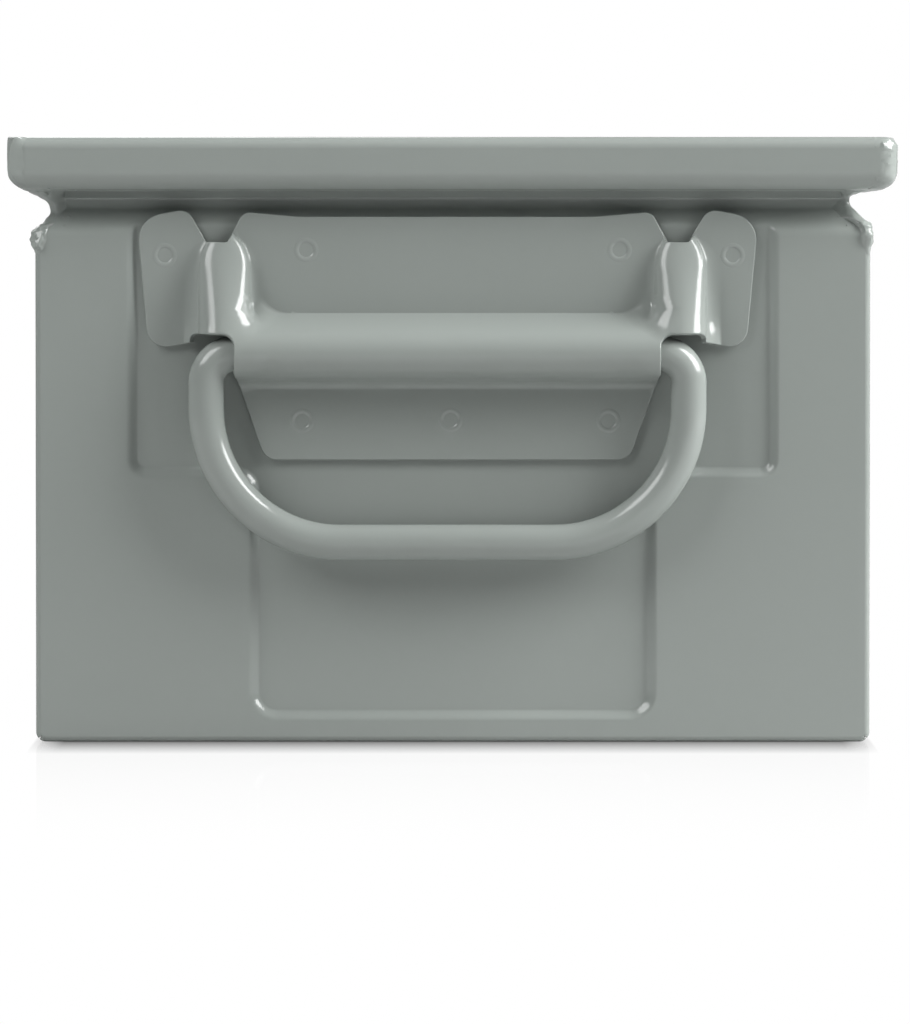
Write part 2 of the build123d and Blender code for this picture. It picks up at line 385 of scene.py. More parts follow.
# wall with its T-shaped recess, flanges on three sides, shoulder, neck and rim
endPanel = {
    "bend": 2.0,
    "corner": 3.3,
    "flangeDepth": 18.0,
    "slit": 0.7,
    "recessDepth": 2.0,
    "barHalf": 110.0,
    "barLow": 89.6,
    "barCorner": 6.0,
    "stemHalf": 68.8,
    "stemLow": 7.4,
    "stemCorner": 9.5,
    "innerCorner": 4.0,
    "slope": 3.9,
    "slopeLevels": (-0.6, -0.2, 0.2, 0.7, 1.3, 2.0, 2.7, 3.2, 3.6, 4.0),
    "endZone": 120.0,  # from here outwards the rows run into the mitre
}


def slopeDepth(e):
    return endPanel["recessDepth"] * smooth((e + 0.4) / endPanel["slope"])


def endPanelSurface():
    v = endPanel
    flat = box["endWallInset"] + box["sheet"] / 2
    halfWall = box["halfWidth"] - box["endWallInset"]
    top = box["flangeTop"]
    barEdges = [v["barHalf"] - e for e in v["slopeLevels"]]

    def edgeLine(inset, slitHalf):
        # the panel's outline at some inset, with the slit's two sides in each low corner
        radius = v["corner"] - inset
        centre = halfWall - v["corner"]
        gap = math.asin(min(0.9, slitHalf / radius))
        angles = [gap + (math.pi / 4 - gap) * k / 4 for k in range(5)]
        turn = [math.pi / 4 - a for a in reversed(angles)] + [math.pi / 4 + a for a in angles]
        right = [(centre + radius * math.sin(a), v["corner"] - radius * math.cos(a)) for a in turn]
        right += [(halfWall - inset, top)]
        return [(-x, z) for x, z in reversed(right)] + right

    flatPoints = [Vector(p) for p in edgeLine(v["bend"], v["slit"] / 2)]
    depths = [0.0] * len(flatPoints)
    for x in sorted(barEdges + [-b for b in barEdges], reverse=True):
        flatPoints.append(Vector((x, top)))
        depths.append(slopeDepth(v["barHalf"] - abs(x)))
    outline = list(range(len(flatPoints)))
    runs = []
    for e in v["slopeLevels"]:
        bar, stem = v["barHalf"] - e, v["stemHalf"] - e
        low, foot = v["barLow"] + e, v["stemLow"] + e
        right = [(stem, foot), (stem, low), (bar, low), (bar, top)]
        radii = [v["stemCorner"] - e, v["innerCorner"] + e, v["barCorner"] - e]
        path = roundedPath([(-x, z) for x, z in reversed(right)] + right, radii[::-1] + radii, 7.5)
        start = len(flatPoints)
        flatPoints += path
        depths += [slopeDepth(e)] * len(path)
        runs += [(i, i + 1) for i in range(start, len(flatPoints) - 1)]
    found, _, triangles, source, _, _ = delaunay_2d_cdt(flatPoints, runs, [outline], 1, 0.0005)
    points = []
    for p, ids in zip(found, source):
        points.append(Vector((p.x, flat + max((depths[i] for i in ids), default=0.0), p.y)))
    faces = [tuple(t) for t in triangles]

    # bend and flange round three sides
    rows = []
    for k in range(7):
        a = math.pi / 2 * k / 6
        radius = v["bend"] - box["sheet"] / 2
        inset, depth = v["bend"] - radius * math.sin(a), flat + radius * (1 - math.cos(a))
        rows.append([Vector((x, depth, z)) for x, z in edgeLine(inset, v["slit"] / 2)])
    last = box["endWallInset"] + v["flangeDepth"] - box["sheetEdge"]
    rows.append([Vector((p.x, last, p.z)) for p in rows[-1]])
    more, quads = grid(rows)
    width = len(rows[0])
    slits = {5, width - 7}
    start = len(points)
    points += more
    for i, quad in enumerate(quads):
        row, column = divmod(i, width - 1)
        if column not in slits or row == 0:
            faces.append(tuple(start + j for j in quad))

    # shoulder, neck and rim
    corners, radii = wallPath(flat, top)
    path = finer(roundedPath(corners, radii), box["rowStep"], lambda p: p.y < rim["neckLow"])
    path[-1] = path[-1] + Vector((-box["sheetEdge"], 0))
    start = v["endZone"]
    inner = sorted(barEdges + [start])
    reach = halfWall - box["sheet"] / 2 - start - box["sheetEdge"] * 0.5
    first = (halfWall - v["bend"] - start) / reach
    rows = []
    rimCentre = box["halfWidth"] - box["rimCorner"]
    for inset, height in path:
        right = [(x, pressedInset(inset, flat, slopeDepth(v["barHalf"] - x), height)) for x in inner]
        right += mitredEnd(inset, start, box["halfWidth"], rimCentre, first=first)
        row = [(-x, q) for x, q in reversed(right)] + right
        rows.append([Vector((x, q, height)) for x, q in row])
    more, quads = grid(rows)
    start = len(points)
    points += more
    faces += [tuple(start + j for j in quad) for quad in quads]
    return points, faces


def placed(points, turned):
    # from inset and height at the near end to the box; the far end is the same turned half round
    sign = -1 if turned else 1
    return [Vector((sign * p.x, sign * (p.y - box["halfLength"]), p.z)) for p in points]


points, faces = endPanelSurface()
for end in ("front", "back"):
    there = placed(points, end == "back")
    panel = thickSheet(end + "EndPanel", there, faces, box["sheet"], box["sheetEdge"])
    dress(panel, "box", end + "_end_panel")
print("end panels", len(panel.data.polygons))


# cut edge of the turned-in sheet, seen under the rim
ledge = {
    "height": 185.05,
    "thickness": 2.7,
    "front": 14.8,
    "back": 17.2,
    "half": 131.0,
    "between": (-60.0, 0.0, 60.0),
}
rows = []
for inset in (ledge["front"], ledge["back"]):
    acrossLedge = (-ledge["half"], *ledge["between"], ledge["half"])
    rows.append([Vector((x, inset, ledge["height"])) for x in acrossLedge])
points, faces = grid(rows)
for end in ("front", "back"):
    there = placed(points, end == "back")
    strip = thickSheet(end + "LedgeStrip", there, faces, ledge["thickness"], box["sheetEdge"])
    dress(strip, "box", end + "_end_panel")
print("ledge strips", len(strip.data.polygons))


# the floor and both long sides are one folded sheet
trough = {
    "floorMiddle": 1.875,
    "floorBend": 2.175,
    "endLine": 213.95,
    "recessHalf": 178.0,
    "recessLow": 12.0,
    "recessCorner": 12.0,
    "endZone": 200.0,
}


def sideDepth(y, z):
    v = trough
    along = abs(y) - (v["recessHalf"] - v["recessCorner"])
    below = v["recessLow"] + v["recessCorner"] - z
    outside = math.hypot(max(along, 0), max(below, 0)) + min(max(along, below), 0) - v["recessCorner"]
    return slopeDepth(-outside)


def troughSurface():
    v = trough
    flat = box["sideWallInset"] + box["sheet"] / 2
    corners, radii = wallPath(flat, 60.0)  # the foot is replaced in the next line
    corners = corners[::-1][:-1] + [(flat, v["floorMiddle"]), (box["halfWidth"], v["floorMiddle"])]
    path = roundedPath(corners, radii[::-1] + [v["floorBend"]])
    path = finer(path, box["rowStep"], lambda p: box["flangeTop"] - 1 < p.y < rim["neckLow"])
    # close rows over the foot of the recess, few above it
    dense = [7.0 + 1.1 * k for k in range(20)] + [60.0, 120.0, box["flangeTop"]]
    path += [Vector((flat, z)) for z in dense]
    wallTop = box["flangeTop"] + 0.01
    upper = [p for p in path if p.y > wallTop or p.x < flat - 0.01 and p.y > 20]
    wall = [p for p in path if abs(p.x - flat) < 0.02 and v["floorMiddle"] < p.y <= wallTop]
    wall.sort(key=lambda p: -p.y)
    lower = [p for p in path if p.x > flat + 0.02 and p.y < 20]
    path = [upper[0] + Vector((-box["sheetEdge"], 0))] + upper[1:] + wall + lower
    edges = [v["recessHalf"] - e for e in endPanel["slopeLevels"]]
    start = v["endZone"]
    inner = sorted([164.0 + 1.2 * k for k in range(8)] + edges + [start, 80.0])
    rows = []
    for inset, height in path:
        along = []
        for y in inner:
            depth = sideDepth(y, height) if inset <= rim["neck"] else 0.0
            along.append((y, pressedInset(inset, flat, depth, height)))
        if height > box["flangeTop"]:
            along += mitredEnd(inset, start, box["halfLength"], box["halfLength"] - box["rimCorner"])
        else:
            reach = v["endLine"] - box["sheetEdge"] - start
            along += [(start + reach * (0.93 + 0.0175 * k), inset) for k in range(5)]
        row = [(-y, q) for y, q in reversed(along)] + along
        rows.append([Vector((box["halfWidth"] - q, y, height)) for y, q in row])
    rows += [[Vector((-p.x, p.y, p.z)) for p in row] for row in reversed(rows[:-1])]
    return grid(rows)


points, faces = troughSurface()
piece = thickSheet("troughSheet", points, faces, box["sheet"], box["sheetEdge"])
dress(piece, "box", "trough")
print("trough", len(piece.data.polygons))


# one pressed sheet with two ears, two hoods, a round channel and two flanges
bracket = {
    "sheet": 2.0,
    "edge": 0.42,
    "shift": -1.8,
    "axisHeight": 131.5,
    "recessFloor": 214.0,
    "standoff": 9.0,
    "crestRadius": 7.3,
    "topFoot": 13.6,  # reach of each side of the ridge from its crest to the flat sheet
    "topBend": 1.2,
    "lowFoot": 12.4,
    "lowBend": 3.6,
    "hoodFoot": 12.0,
    "hoodBend": 4.0,
    "outerFoot": 14.0,  # the hood's side towards the ear
    "outerBend": 6.5,
    "hoodCentre": 77.0,
    "hoodShift": 1.7,
    "hoodDome": 28.0,
    "hoodSlope": 18.0,  # degrees, fall of the hoods towards their tops
    "slopeEase": 5.0,
    "cornerShare": 0.85,  # roundness of the corner between channel and hood, as a share of the reach
    # the mesh follows the ridges at these shares of the way from crest to foot
    "levels": (0, 0.11, 0.21, 0.31, 0.4, 0.48, 0.54, 0.6, 0.65, 0.7, 0.75, 0.8, 0.85, 0.9, 0.95, 1.0, 1.06),
    # right half from the middle of the top edge round to the bottom: along, up from the axis, corner radius
    "outline": (
        (50.0, 46.0, 40.0),
        (69.0, 47.7, 4.0),
        (74.3, 37.2, 0.8),
        (81.2, 37.2, 0.8),
        (87.8, 48.7, 5.0),
        (105.0, 45.5, 9.0),
        (100.9, 1.1, 6.5),
        (86.2, 3.5, 0.6),
        (86.2, 6.4, 2.0),
        (71.8, 6.4, 4.3),
        (71.8, -6.5, 1.5),
        (61.6, -36.1, 5.5),
    ),
    "spots": (
        (-95.4, 33.0),
        (-47.7, 34.8),
        (58.1, 34.8),
        (96.3, 33.0),
        (-49.1, -22.9),
        (1.0, -22.6),
        (54.4, -22.9),
    ),
    "spotDish": 0.18,
    "spotDishRadius": 3.2,
    "spotLip": 0.16,
    "spotLipInner": 2.7,
    "spotLipOuter": 4.2,
    "spotPip": 0.05,
    "spotPipRadius": 0.7,
    "spotReach": 4.5,
}


def ridgeProfile(foot, bend):
    # half section of the ridge: round crest, straight side and bend into the sheet at the foot,
    # as a function of the share of the way to the foot; 1 at the crest, 0 at the sheet
    v = bracket
    radius, plate = v["crestRadius"], v["sheet"] / 2
    rise = v["standoff"] + radius - plate
    apart = rise - radius - bend
    span = math.hypot(foot, apart)
    steep = math.asin(min(1.0, (radius + bend) / span)) + math.atan2(apart, foot)
    crestEnd = radius * math.sin(steep)
    bendStart = foot - bend * math.sin(steep)

    def height(share):
        d = share * foot
        if d <= crestEnd:
            return (rise - radius + math.sqrt(radius**2 - d * d)) / rise
        if d < bendStart:
            return (rise - radius + radius * math.cos(steep) - (d - crestEnd) * math.tan(steep)) / rise
        if d < foot:
            return (bend - math.sqrt(bend**2 - (foot - d) ** 2)) / rise
        return 0.0

    return height


topProfile = ridgeProfile(bracket["topFoot"], bracket["topBend"])
lowProfile = ridgeProfile(bracket["lowFoot"], bracket["lowBend"])
hoodProfile = ridgeProfile(bracket["hoodFoot"], bracket["hoodBend"])
outerProfile = ridgeProfile(bracket["outerFoot"], bracket["outerBend"])


def ridgeShares(x, y):
    # share of the way from the crest to the foot of the hood and of the channel, and of both together
    v = bracket
    x = abs(x - v["hoodShift"])
    away = x - v["hoodCentre"]
    foot = v["hoodFoot"] if away < 0 else v["outerFoot"]
    narrow = max(0.05, 1 - (max(0.0, y - v["hoodDome"]) / v["hoodFoot"]) ** 2)
    toHood = math.hypot(away / (foot * math.sqrt(narrow)), min(0.0, y) / v["lowFoot"])
    toChannel = math.hypot(max(0.0, away) / foot, y / (v["topFoot"] if y > 0 else v["lowFoot"]))
    both = min(toHood, toChannel)
    if away < 0 and y > 0:
        mean = (toHood + toChannel) / 2
        k = v["cornerShare"] * mean / (1 + mean**4) ** 0.25
        gap = toHood - toChannel
        if abs(gap) < k:
            both = mean - k + math.sqrt(2 * k * k - gap * gap) / 2
    return toHood, toChannel, both


def spotHeight(r):
    v = bracket
    lip = v["spotLip"] * smooth((r - v["spotLipInner"]) / 0.7) * smooth((v["spotLipOuter"] - r) / 0.8)
    dish = -v["spotDish"] * smooth((v["spotDishRadius"] - r) / 0.6)
    return lip + dish + v["spotPip"] * smooth((v["spotPipRadius"] - r) / 0.6)


def bracketHeight(x, y):
    v = bracket
    toHood, toChannel, both = ridgeShares(x, y)
    height = v["sheet"] / 2
    if both < 1:
        rise = v["standoff"] + v["crestRadius"] - height
        if y <= 0:
            height += rise * lowProfile(both)
        else:
            ease = v["slopeEase"]
            drop = y * y / (2 * ease) if y < ease else y - ease / 2
            fallen = rise - drop * math.tan(math.radians(v["hoodSlope"]))
            hood = smooth(0.5 + (toChannel - toHood) / 0.9)
            hoodSide = hoodProfile if abs(x - v["hoodShift"]) < v["hoodCentre"] else outerProfile
            height += hood * fallen * hoodSide(both) + (1 - hood) * rise * topProfile(both)
    for sx, sy in v["spots"]:
        r = math.hypot(x - sx, y - sy)
        if r < v["spotReach"]:
            height += spotHeight(r)
    return height


def bracketNormal(p):
    # p is in bracket axes: along, up, out of the wall
    e = 0.04
    dx = (bracketHeight(p.x + e, p.z) - bracketHeight(p.x - e, p.z)) / (2 * e)
    dy = (bracketHeight(p.x, p.z + e) - bracketHeight(p.x, p.z - e)) / (2 * e)
    return Vector((-dx, -1.0, -dy)).normalized()


def insidePolygon(p, polygon):
    inside = False
    for a, b in zip(polygon, polygon[1:] + polygon[:1]):
        if (a.y > p.y) != (b.y > p.y) and p.x < (b.x - a.x) * (p.y - a.y) / (b.y - a.y) + a.x:
            inside = not inside
    return inside


def edgeDistance(p, polygon):
    best = 1e9
    for a, b in zip(polygon, polygon[1:] + polygon[:1]):
        if min(a.x, b.x) - 1 > p.x or max(a.x, b.x) + 1 < p.x:
            continue
        run = b - a
        t = min(1.0, max(0.0, (p - a).dot(run) / run.length_squared))
        best = min(best, (a + run * t - p).length)
    return best


def bracketSurface():
    v = bracket
    right = [(x, y) for x, y, r in v["outline"]]
    radii = [r for x, y, r in v["outline"]]
    corners = right + [(-x, y) for x, y in reversed(right)]
    path = roundedPath(corners, radii + radii[::-1], 10.0, closed=True)
    ring = finer(path + path[:1], 3.0)[:-1]
    ring = finer(ring + ring[:1], 0.7, lambda p: ridgeShares(*p)[2] < 1.15)[:-1]
    outline = []  # of the middle surface, which ends short of the rounded edge
    for before, p, after in zip(ring[-1:] + ring[:-1], ring, ring[1:] + ring[:1]):
        run = (after - before).normalized()
        outline.append(p + Vector((run.y, -run.x)) * v["edge"])  # the outline runs clockwise

    marks = []
    hood, dome = v["hoodCentre"], v["hoodDome"]
    for t in v["levels"]:
        top, low, side = t * v["topFoot"], t * v["lowFoot"], t * v["hoodFoot"]
        outer = t * v["outerFoot"]
        half = [Vector((x, top)) for x in (11.0, 22.0, 33.0, 42.0, 47.0)]
        k = max(0.02, v["cornerShare"] * min(1.0, t) * v["hoodFoot"])
        corner = [(52.0, top), (hood - side, top), (hood - side, 19.0)]
        half += finer(roundedPath(corner, [k], 6.0)[:-1], 3.0)
        for y in (20.0, 22.0, 24.0, 26.0, 28.0, 29.5, 31.0, 32.5, 34.0, 35.0, 36.0, 37.0, 38.0, 38.8):
            narrow = math.sqrt(1 - (max(0.0, y - dome) / v["hoodFoot"]) ** 2)
            half += [Vector((hood - side * narrow, y)), Vector((hood + outer * narrow, y))]
        half += [Vector((hood + outer, y)) for y in (17.5, 15.0, 12.5, 10.0, 7.5, 5.0, 3.5, 2.0)]
        for i in range(10):
            a = math.pi / 2 * i / 9
            half.append(Vector((hood + outer * math.cos(a), -low * math.sin(a))))
        half += [Vector((x, -low)) for x in (66.0, 55.0, 44.0, 33.0, 22.0, 11.0)]
        half += [Vector((0, top)), Vector((0, -low))]
        marks += [Vector((v["hoodShift"] + p.x, p.y)) for p in half]
        marks += [Vector((v["hoodShift"] - p.x, p.y)) for p in half]
    for sx, sy in v["spots"]:
        marks.append(Vector((sx, sy)))
        for r in (0.7, 1.6, 2.5, 2.8, 3.1, 3.4, 3.8, 4.2, 4.6):
            for i in range(28):
                a = math.pi * i / 14
                marks.append(Vector((sx + r * math.cos(a), sy + r * math.sin(a))))
    # a few points on the flats, clear of ridges and spots
    for x in range(-96, 97, 12):
        for y in (-31, 30, 41):
            clear = all(math.hypot(x - sx, y - sy) > 6 for sx, sy in v["spots"])
            if clear and ridgeShares(x, y)[2] > 1.2:
                marks.append(Vector((x, y)))
    flat = list(outline)
    for p in marks:
        if insidePolygon(p, outline) and edgeDistance(p, outline) > 0.3:
            flat.append(p)
    found, _, triangles, _, _, _ = delaunay_2d_cdt(flat, [], [list(range(len(outline)))], 1, 0.001)
    points = [Vector((p.x, -bracketHeight(p.x, p.y), p.y)) for p in found]
    return points, [tuple(t) for t in triangles]


def bracketPlaced(points, turned):
    v = bracket
    sign = -1 if turned else 1
    shift, depth, axis = v["shift"], v["recessFloor"], v["axisHeight"]
    return [Vector((sign * (p.x + shift), sign * (p.y - depth), p.z + axis)) for p in points]


points, faces = bracketSurface()
for end in ("front", "back"):
    turned = end == "back"
    sign = -1 if turned else 1

    def exactNormal(p, sign=sign):
        n = bracketNormal(Vector((sign * p.x - bracket["shift"], 0, p.z - bracket["axisHeight"])))
        return Vector((sign * n.x, sign * n.y, n.z))

    there = bracketPlaced(points, turned)
    sheet, edge = bracket["sheet"], bracket["edge"]
    piece = thickSheet(end + "HandleBracket", there, faces, sheet, edge, exactNormal, edgeSteps=4)
    dress(piece, "box", end + "_handle_bracket")
print("brackets", len(piece.data.polygons))


# bent round bar, its two ends turned in to the channel
handle = {
    "radius": 6.0,
    "halfWidth": 81.3,
    "drop": 63.7,
    "topBend": 10.0,
    "lowBend": 45.0,
    "endGap": 50.0,
    "chamfer": 1.0,
    "sides": 48,
}


def buildHandle(end):
    v = handle
    right = [(v["endGap"] / 2, 0), (v["halfWidth"], 0), (v["halfWidth"], -v["drop"])]
    corners = right + [(-x, y) for x, y in reversed(right)]
    bends = [v["topBend"], v["lowBend"], v["lowBend"], v["topBend"]]
    path = finer(roundedPath(corners, bends, 4.0), 6.0)
    runs = [(b - a).normalized() for a, b in zip(path, path[1:])]
    heading = [runs[0]] + [(a + b).normalized() for a, b in zip(runs, runs[1:])] + [runs[-1]]
    stations = list(zip(path, heading, [v["radius"]] * len(path)))
    # both ends of the bar are rounded over
    for where in (0, -1):
        p, run, radius = stations[where]
        inward = run if where == 0 else -run
        cut = []
        for k in range(5):
            fall = v["chamfer"] * (1 - math.sqrt(1 - (k / 4) ** 2))
            cut.append((p + inward * v["chamfer"] * (1 - k / 4), run, radius - fall))
        if where == 0:
            stations = cut[::-1] + stations[1:]
        else:
            stations = stations[:-1] + cut
    co, polys = [], []
    sides = v["sides"]
    for p, run, radius in stations:
        for k in range(sides):
            a = 2 * math.pi * k / sides
            n = Vector((-run.y * math.cos(a), math.sin(a), run.x * math.cos(a)))
            co.append(Vector((p.x, 0, p.y)) + n * radius)
    for s in range(len(stations) - 1):
        for k in range(sides):
            a, b = s * sides + k, s * sides + (k + 1) % sides
            polys.append([a, b, b + sides, a + sides])
    for s, order in ((0, -1), (len(stations) - 1, 1)):
        ring = [s * sides + k for k in range(sides)][::order]
        polys.append(ring)
    sign = -1 if end == "back" else 1
    depth = bracket["recessFloor"] + bracket["standoff"]
    shift, axis = bracket["shift"], bracket["axisHeight"]
    co = [Vector((sign * (p.x + shift), sign * (p.y - depth), p.z + axis)) for p in co]
    piece = addPiece(end + "Handle", co, polys)
    bm = bmesh.new()
    bm.from_mesh(piece.data)
    bmesh.ops.recalc_face_normals(bm, faces=bm.faces)
    bm.to_mesh(piece.data)
    bm.free()
    dress(piece, end + "_handle", end + "_handle")
    return piece


for end in ("front", "back"):
    piece = buildHandle(end)
print("handles", len(piece.data.polygons))


# welds that close rim, neck and shoulder at the four corners
weld = {
    # down the corner: inset and height of the sheet's skin, inset and height of the weld on the mitre,
    # reach along each sheet, share of the reach that the corner takes, roughness
    "sharp": (
        (6.0, 204.4, 5.0, 204.36, 5.0, 0.4, 0.0),
        (4.6, 204.4, 1.1, 204.36, 6.8, 0.38, 0.0),
        (2.2, 203.95, 0.3, 204.25, 6.8, 0.36, 0.02),
        (0.8, 202.8, 0.1, 203.0, 6.8, 0.26, 0.03),
        (0.1, 200.6, 0.05, 200.8, 6.8, 0.16, 0.04),
        (0.0, 197.0, 0.05, 197.0, 6.8, 0.1, 0.06),
        (0.0, 193.6, 0.1, 193.6, 6.8, 0.16, 0.1),
        (0.53, 190.76, 0.45, 190.9, 6.8, 0.24, 0.14),
        (2.02, 188.52, 1.75, 188.9, 6.8, 0.26, 0.16),
        (4.26, 187.03, 4.0, 187.2, 6.8, 0.26, 0.25),
        (6.9, 186.5, 6.3, 186.1, 7.0, 0.3, 0.5),
        (10.5, 186.5, 8.5, 184.9, 8.0, 0.3, 0.5),
        (12.9, 186.5, 10.4, 184.0, 8.0, 0.3, 0.4),
        (15.37, 185.47, 12.2, 182.9, 7.0, 0.3, 0.2),
        (16.4, 183.0, 13.4, 181.6, 6.0, 0.35, 0.16),
        (16.4, 181.6, 13.8, 180.2, 6.0, 0.35, 0.16),
        (16.2, 180.8, 13.9, 179.2, 6.0, 0.35, 0.2),
        (15.77, 179.95, 13.7, 178.3, 6.0, 0.35, 0.25),
        (13.5, 177.45, 12.2, 176.2, 6.0, 0.4, 0.5),
        (12.0, 175.8, 10.4, 174.9, 6.2, 0.45, 0.7),
        (10.8, 174.5, 8.9, 174.0, 6.4, 0.45, 0.9),
        (10.2, 173.86, 8.0, 173.1, 6.4, 0.45, 1.0),
        (9.31, 172.43, 7.5, 171.9, 6.2, 0.45, 1.0),
        (9.0, 170.77, 7.35, 170.4, 6.0, 0.45, 1.0),
        (9.0, 168.8, 7.5, 168.5, 5.6, 0.45, 1.0),
        (9.0, 167.3, 8.0, 167.1, 4.6, 0.45, 0.8),
        (9.0, 166.0, 8.75, 166.0, 3.4, 0.4, 0.4),
        (9.0, 164.8, 9.15, 164.8, 2.0, 0.4, 0.0),
    ),
    "rounded": (
        (6.0, 204.4, 5.0, 204.36, 6.0, 0.8, 0.0),
        (4.6, 204.4, 3.0, 204.3, 8.0, 0.7, 0.2),
        (2.2, 203.95, 1.5, 203.75, 9.0, 0.62, 0.6),
        (0.8, 202.8, 0.7, 202.6, 9.2, 0.62, 1.0),
        (0.1, 200.6, 0.2, 200.6, 9.2, 0.62, 1.0),
        (0.0, 197.0, 0.1, 197.0, 9.0, 0.63, 0.45),
        (0.0, 193.6, 0.15, 193.6, 9.0, 0.63, 0.25),
        (0.53, 190.76, 0.6, 190.8, 8.6, 0.62, 0.2),
        (2.02, 188.52, 1.9, 188.6, 7.6, 0.6, 0.2),
        (4.26, 187.03, 4.1, 187.0, 6.6, 0.55, 0.25),
        (6.9, 186.5, 6.8, 186.3, 6.5, 0.5, 0.35),
        (10.5, 186.5, 10.6, 185.9, 6.5, 0.4, 0.4),
        (12.9, 186.5, 13.6, 185.2, 6.0, 0.35, 0.35),
        (15.37, 185.47, 15.4, 184.2, 5.0, 0.3, 0.2),
        (16.4, 183.0, 15.8, 182.9, 5.0, 0.3, 0.15),
        (16.4, 181.6, 15.5, 181.4, 6.0, 0.3, 0.15),
        (16.2, 180.8, 14.8, 180.5, 7.5, 0.3, 0.15),
        (15.77, 179.95, 13.8, 179.5, 8.5, 0.25, 0.15),
        (13.5, 177.45, 11.5, 177.2, 8.0, 0.3, 0.25),
        (12.0, 175.8, 9.7, 175.9, 6.2, 0.4, 0.5),
        (10.8, 174.5, 8.7, 174.8, 5.2, 0.5, 0.7),
        (10.2, 173.86, 8.2, 173.8, 4.9, 0.55, 0.8),
        (9.31, 172.43, 7.9, 172.3, 4.7, 0.55, 0.8),
        (9.0, 170.77, 7.9, 170.7, 4.6, 0.55, 0.7),
        (9.0, 168.8, 8.2, 168.8, 4.2, 0.5, 0.5),
        (9.0, 167.3, 8.7, 167.3, 3.4, 0.5, 0.3),
        (9.0, 166.0, 8.95, 166.0, 2.6, 0.5, 0.1),
        (9.0, 164.8, 9.15, 164.8, 2.0, 0.5, 0.0),
    ),
    "step": 0.3,
    "sunk": 0.1,
    "crease": 22.0,  # degrees
    "ground": 1.0,  # how flat the sharp weld's corner is ground
    "lump": 0.95,  # mm, height of the weld's waves where roughness is 1
    "lumpSize": 2.4,
    "grain": 0.4,
    "grainSize": 0.9,
    "spatter": 22,  # drops beside each weld
    "spatterRows": (9, 10, 11, 12, 13, 17, 18, 19, 20, 21),
    # flattened spots: inset from the side, height, direction faced, how deep
    "sharpFacets": (
        (12.0, 172.4, (-0.42, -0.83, 0.35), 1.0),
        (11.4, 168.0, (-0.42, -0.83, 0.35), 0.7),
        (14.4, 180.6, (-0.42, -0.83, 0.37), 0.15),
    ),
    "roundedFacets": (
        (3.6, 198.2, (-0.54, -0.757, 0.37), 0.3),
        (2.6, 202.2, (-0.54, -0.757, 0.37), 0.3),
    ),
}


def smoothTable(table, step):
    # rows at even steps on a curve through the given ones, measured on the weld's own middle line
    rows = [table[0]] + list(table) + [table[-1]]
    out = []
    for a, b, c, d in zip(rows, rows[1:], rows[2:], rows[3:]):
        count = max(1, round(math.hypot(c[2] - b[2], c[3] - b[3]) / step))
        for k in range(count):
            t = k / count
            row = []
            for o, q, r, e in zip(a, b, c, d):
                bent = (2 * o - 5 * q + 4 * r - e) * t * t + (3 * q - o - 3 * r + e) * t**3
                row.append(0.5 * (2 * q + (r - o) * t + bent))
            out.append(row)
    return out + [list(table[-1])]


def weldSkin(table, seed, flat):
    # insets from the rim's side face and end face, and height
    v = weld
    rows = smoothTable(table, v["step"])
    shares = [1 - k / 11 for k in range(12)]
    made = []
    for k, (skin, skinUp, inset, up, reach, turn, rough) in enumerate(rows):
        above, below = rows[max(0, k - 1)], rows[min(len(rows) - 1, k + 1)]
        run = Vector((below[0] - above[0], below[1] - above[1])).normalized()
        skin -= run.y * v["sunk"]
        skinUp += run.x * v["sunk"]
        radius = reach * turn
        half = []
        for share in shares:
            s = radius + (reach - radius) * share
            full = 1 - smooth(share)
            half.append(Vector((inset + s, skin + (inset - skin) * full, skinUp + (up - skinUp) * full)))
        arc = []
        for j in range(1, 8):
            a = math.pi / 2 * j / 8
            turned = Vector((1 - math.sin(a), 1 - math.cos(a)))
            turned = turned.lerp(Vector((1 - j / 8, j / 8)), flat) * radius
            arc.append(Vector((inset + turned.x, inset + turned.y, up)))
        row = half + arc + [Vector((p.y, p.x, p.z)) for p in reversed(half)]
        made.append((row, rough))
    out = []
    for k, (row, rough) in enumerate(made):
        above, below = made[max(0, k - 1)][0], made[min(len(made) - 1, k + 1)][0]
        line = []
        for j, p in enumerate(row):
            along = row[min(len(row) - 1, j + 1)] - row[max(0, j - 1)]
            n = (below[j] - above[j]).cross(along)
            n = n.normalized() if n.length > 1e-9 else Vector((0, 0, 1))
            if n.dot(Vector((-1, -1, 0.3))) < 0:
                n = -n
            edge = smooth(min(j, len(row) - 1 - j) / 7)
            big = noise.noise(p / v["lumpSize"] + seed)
            small = noise.noise(p / v["grainSize"] + seed * 2)
            q = p + n * edge * rough * (v["lump"] * big + v["grain"] * max(0.0, small - 0.05))
            q.x, q.y, q.z = max(q.x, 0.03), max(q.y, 0.03), min(q.z, box["height"] - 0.03)
            line.append(q)
        out.append(line)
    return out


def flatten(points, facets):
    for side, height, facing, depth in facets:
        n = Vector(facing).normalized()
        near = [p for p in points if math.hypot(p.x - side, p.z - height) < 3.0 and p.y < p.x + 1.0]
        limit = max(p.dot(n) for p in near) - depth
        for p in near:
            over = p.dot(n) - limit
            if over > 0:
                p -= n * over


